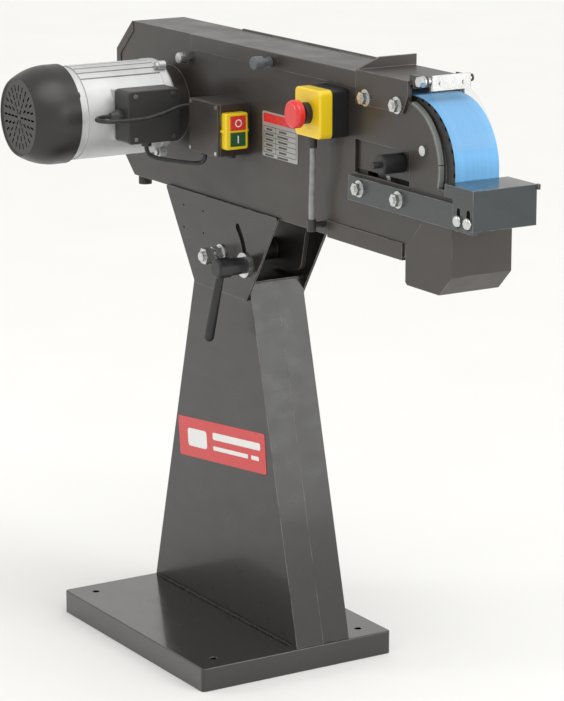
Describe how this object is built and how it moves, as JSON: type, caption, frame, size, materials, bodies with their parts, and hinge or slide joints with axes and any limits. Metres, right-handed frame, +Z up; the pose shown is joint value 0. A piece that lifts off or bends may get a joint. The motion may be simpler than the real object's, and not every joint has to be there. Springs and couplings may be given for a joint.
{
  "type": "pedestal belt grinder",
  "caption": "Floor-standing belt grinder: narrow belt housing tilting on a tapered sheet-steel pedestal, contact wheel, work rest, dust box, side motor and switch boxes.",
  "frame": {"origin": "centre of the rectangle of four floor-bolt holes, on the floor plane under the base tray", "axes": "+Z up; +X along the belt housing towards the contact wheel and work rest; -Y the side of the motor, the switches and the operator"},
  "size_m": [1.055, 0.453, 0.995],
  "materials": {
    "black_paint": "semi-gloss powder coat",
    "slate_paint": "semi-gloss powder coat",
    "zinc": "zinc plated",
    "steel": "machined",
    "strip": "satin",
    "cast_aluminium": "as extruded",
    "black_plastic": "fine texture",
    "grey_plastic": "satin",
    "yellow_plastic": "gloss",
    "red_plastic": "gloss",
    "green_plastic": "gloss",
    "belt_abrasive": "abrasive cloth",
    "tread_rubber": "matt",
    "cable_sheath": "matt",
    "grey_sheath": "satin",
    "winding": "laminations and windings",
    "label_red": "gloss film",
    "plate_print": "printed",
    "clear_sheet": "clear polycarbonate"
  },
  "bodies": {
    "pedestal": {"base_tray": "black_paint", "column_front": "black_paint", "column_rear": "black_paint", "yoke_front": "black_paint", "yoke_back": "black_paint", "column_label": "label_red", "pivot_bolt": "zinc"},
    "head": {"frame_plate": "black_paint", "rear_shell": "black_paint", "pivot_bracket": "black_paint", "lower_guard": "black_paint", "rubber_buffers": "tread_rubber", "hinge_set": "black_paint", "wheel_guard": "black_paint", "guard_strips": "strip", "platen": "steel", "abrasive_belt": "belt_abrasive", "slide_rails": "steel", "tension_cylinder": "steel", "motor_frame": "cast_aluminium", "motor_shields": "cast_aluminium", "stator_core": "winding", "motor_bearings": "steel", "fan_cowl": "black_plastic", "terminal_box": "black_plastic", "terminal_cover": "black_plastic", "switch_box": "black_paint", "switch_cover": "black_paint", "cover_screws": "zinc", "cable_glands": "black_plastic", "motor_cable": "cable_sheath", "control_cable": "cable_sheath", "stop_cable": "grey_sheath", "switch_frame": "yellow_plastic", "nameplate": "plate_print", "estop_base": "black_plastic", "estop_cover": "yellow_plastic", "rest_arm": "slate_paint", "dust_box": "black_paint", "zinc_bolts": "zinc"},
    "clamp_lever": {"clamp_lever": "black_plastic"},
    "lid": {"lid": "black_paint"},
    "lid_knob": {"lid_knob": "grey_plastic"},
    "belt_door": {"belt_door": "black_paint"},
    "door_knob": {"door_knob": "black_plastic"},
    "tracking_knob": {"tracking_knob": "zinc"},
    "tension_slide": {"tension_slide": "black_paint", "tension_knob": "black_plastic"},
    "contact_wheel": {"wheel_hub": "cast_aluminium", "wheel_tyre": "tread_rubber", "wheel_bearings": "steel"},
    "drive": {"drive_pulley": "cast_aluminium", "rotor": "steel", "motor_fan": "black_plastic"},
    "stop_button": {"stop_button": "red_plastic"},
    "start_button": {"start_button": "green_plastic"},
    "estop_button": {"estop_button": "red_plastic"},
    "rest_table": {"rest_table": "slate_paint"},
    "shield": {"shield_clamp": "zinc", "eye_shield": "clear_sheet"}
  },
  "joints": [
    {"name": "head_tilt", "type": "hinge", "parent": "pedestal", "child": "head", "pos_m": [0.005, 0, 0.636], "axis": [0, -1, 0], "range_deg": [0, 50]},
    {"name": "clamp_lever_turn", "type": "hinge", "parent": "head", "child": "clamp_lever", "pos_m": [0.07683, 0, 0.63098], "axis": [0, -1, 0], "range_deg": [0, 90]},
    {"name": "lid_open", "type": "hinge", "parent": "head", "child": "lid", "pos_m": [0, 0.095, 0.9755], "axis": [-1, 0, 0], "range_deg": [0, 105]},
    {"name": "lid_knob_turn", "type": "hinge", "parent": "lid", "child": "lid_knob", "pos_m": [0.151, -0.02, 0.961], "axis": [0, -1, 0], "range_deg": [0, 90]},
    {"name": "belt_door_open", "type": "hinge", "parent": "head", "child": "belt_door", "pos_m": [-0.3465, 0.094, 0.85], "axis": [0, 0, 1], "range_deg": [0, 110]},
    {"name": "door_knob_turn", "type": "hinge", "parent": "belt_door", "child": "door_knob", "pos_m": [0.452, 0.11, 0.748], "axis": [0, 1, 0], "range_deg": [0, 90]},
    {"name": "tracking_turn", "type": "hinge", "parent": "head", "child": "tracking_knob", "pos_m": [-0.101, 0, 0.938], "axis": [0, 1, 0], "range_deg": [-180, 180]},
    {"name": "tension_release", "type": "slide", "parent": "head", "child": "tension_slide", "axis": [-1, 0, 0], "range_m": [0, 0.015], "stiffness_N_per_m": 12000, "springref_m": -0.004},
    {"name": "contact_wheel_spin", "type": "hinge", "parent": "tension_slide", "child": "contact_wheel", "pos_m": [0.525, 0.0485, 0.856], "axis": [0, 1, 0], "continuous": true},
    {"name": "drive_spin", "type": "hinge", "parent": "head", "child": "drive", "pos_m": [-0.16084, 0, 0.856], "axis": [0, 1, 0], "continuous": true},
    {"name": "stop_press", "type": "slide", "parent": "head", "child": "stop_button", "axis": [-1, 0, 0], "range_m": [0, 0.003], "stiffness_N_per_m": 600, "springref_m": -0.002},
    {"name": "start_press", "type": "slide", "parent": "head", "child": "start_button", "axis": [-1, 0, 0], "range_m": [0, 0.003], "stiffness_N_per_m": 600, "springref_m": -0.002},
    {"name": "estop_press", "type": "slide", "parent": "head", "child": "estop_button", "axis": [0, 1, 0], "range_m": [0, 0.005], "stiffness_N_per_m": 1500, "springref_m": -0.003},
    {"name": "rest_height", "type": "slide", "parent": "head", "child": "rest_table", "axis": [0, 0, 1], "range_m": [-0.008, 0.008]},
    {"name": "shield_lift", "type": "hinge", "parent": "head", "child": "shield", "pos_m": [0.56, 0, 0.982], "axis": [0, -1, 0], "range_deg": [0, 95]}
  ],
  "couplings": [
    {"joint": "contact_wheel_spin", "follows": "drive_spin", "ratio": 1}
  ]
}
